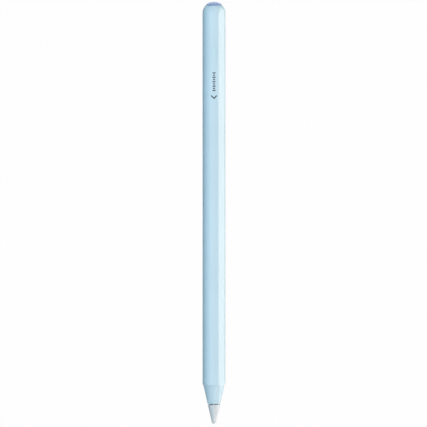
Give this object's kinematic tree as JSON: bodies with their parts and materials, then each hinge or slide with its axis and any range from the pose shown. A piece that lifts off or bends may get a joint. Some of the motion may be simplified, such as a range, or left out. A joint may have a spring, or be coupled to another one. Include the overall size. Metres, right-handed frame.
{
  "type": "tablet stylus pen",
  "caption": "Slim round stylus pen for a drawing tablet, with one flat magnetic charging face, a pressure-sensing screw-on nib and a push button in its rounded end.",
  "frame": {"origin": "middle of the flat dock face, half way between the nib's point and the button's top", "axes": "+X out of the dock face, +Z along the pen from the nib to the button; the pen's own axis is at x = -4.06 mm"},
  "size_m": [0.0085, 0.0088, 0.166],
  "materials": {
    "shell_blue": "satin moulded plastic",
    "button_blue": "polished",
    "nib_white": "fine matt",
    "window_blue": "translucent",
    "steel": "turned",
    "brass": "turned",
    "copper": "bright",
    "nickel": "plated",
    "ferrite": "sintered",
    "cell_metal": "drawn can",
    "film_blue": "shrink film",
    "foam_grey": "foam",
    "rubber_dark": "matt",
    "silicone": "matt",
    "nylon_grey": "moulded",
    "nylon_dark": "moulded",
    "board_green": "solder mask",
    "chip_black": "moulded",
    "ceramic_tan": "fired",
    "flex_amber": "film",
    "wire_red": "extruded",
    "led_white": "moulded"
  },
  "bodies": {
    "pen": {"nib_spring": "steel", "nose_cone": "shell_blue", "shaft_bushing": "brass", "tilt_electrode": "copper", "electrode_lead": "copper", "sensor_holder": "nylon_dark", "sensor_pad": "silicone", "force_sensor": "chip_black", "sensor_plate": "steel", "sensor_flex": "flex_amber", "barrel": "shell_blue", "status_window": "window_blue", "light_pipe": "window_blue", "chassis": "nylon_grey", "main_board": "board_green", "board_screws": "steel", "processor_chip": "chip_black", "radio_chip": "chip_black", "shield_can": "steel", "charge_chip": "chip_black", "motion_sensor": "chip_black", "crystals": "steel", "small_components": "ceramic_tan", "flex_connectors": "nylon_dark", "magnet_tray": "nylon_dark", "dock_magnets": "nickel", "ferrite_core": "ferrite", "charge_coil": "copper", "coil_leads": "copper", "battery_cell": "cell_metal", "battery_sleeve": "film_blue", "battery_pads": "foam_grey", "protection_board": "board_green", "battery_tabs": "nickel", "battery_leads": "wire_red", "main_flex": "flex_amber", "top_board": "board_green", "status_led": "led_white", "antenna": "ceramic_tan", "board_pins": "brass", "switch_board": "board_green", "tact_switch": "nylon_dark", "button_guide": "nylon_grey", "button_spring": "steel", "button_seal": "silicone"},
    "shaft": {"tip_shaft": "steel"},
    "seal": {"nib_seal": "rubber_dark"},
    "nib": {"nib": "nib_white", "nib_insert": "brass"},
    "button": {"button_cap": "button_blue", "switch_plunger": "led_white"}
  },
  "joints": [
    {"name": "nib_press", "type": "slide", "parent": "pen", "child": "shaft", "axis": [0, 0, 1], "range_m": [0, 0.00025], "stiffness_N_per_m": 600, "springref_m": -0.0006, "deforming": ["nib_spring", "sensor_pad"]},
    {"name": "nib_turn", "type": "hinge", "parent": "shaft", "child": "seal", "pos_m": [-0.00406, 0, -0.0759], "axis": [0, 0, -1], "range_deg": [0, 1800]},
    {"name": "nib_back_off", "type": "slide", "parent": "seal", "child": "nib", "axis": [0, 0, -1], "range_m": [0, 0.002]},
    {"name": "button_press", "type": "slide", "parent": "pen", "child": "button", "axis": [0, 0, -1], "range_m": [0, 0.00035], "stiffness_N_per_m": 500, "springref_m": -0.0008, "deforming": ["button_spring"]}
  ],
  "couplings": [
    {"joint": "nib_turn", "follows": "nib_back_off", "rad_per_m": 15708}
  ]
}
